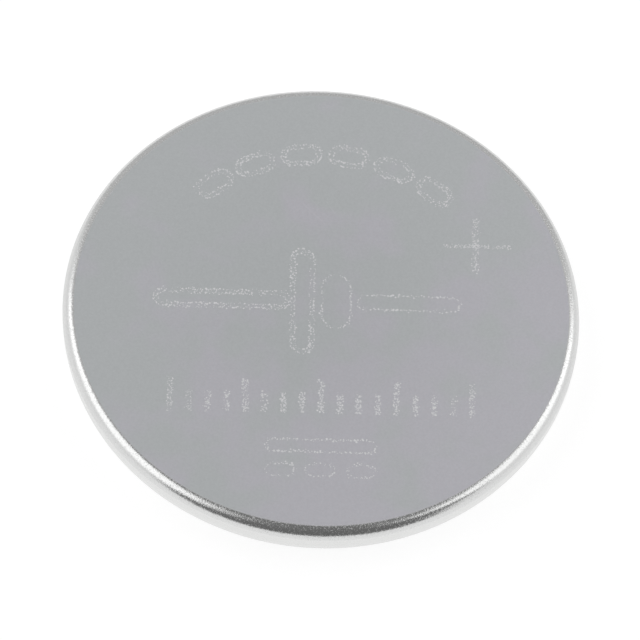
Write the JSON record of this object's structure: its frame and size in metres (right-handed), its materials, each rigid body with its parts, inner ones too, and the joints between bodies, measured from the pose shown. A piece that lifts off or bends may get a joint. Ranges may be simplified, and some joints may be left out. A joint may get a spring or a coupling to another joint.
{
  "type": "lithium coin cell",
  "caption": "Flat round lithium cell: drawn steel can with a rolled shoulder, rim curled over a gasket, raised negative contact below, hidden pellet, separator and lithium disc.",
  "frame": {"origin": "centre of the negative contact's outer face", "axes": "+Z along the cell's axis, from the negative contact to the positive face"},
  "size_m": [0.016, 0.016, 0.002],
  "materials": {
    "can_steel": "satin face, fine orange-peel shoulder, satin wall",
    "ring_steel": "plain rolled strip",
    "pellet": "pressed black powder",
    "separator_felt": "white non-woven felt",
    "lithium_metal": "soft grey foil",
    "gasket_plastic": "natural polypropylene",
    "cap_steel": "satin"
  },
  "bodies": {
    "root": {"positive_can": "can_steel", "collector_ring": "ring_steel", "cathode_pellet": "pellet", "separator": "separator_felt", "lithium_anode": "lithium_metal", "gasket": "gasket_plastic", "negative_cap": "cap_steel"}
  },
  "joints": []
}
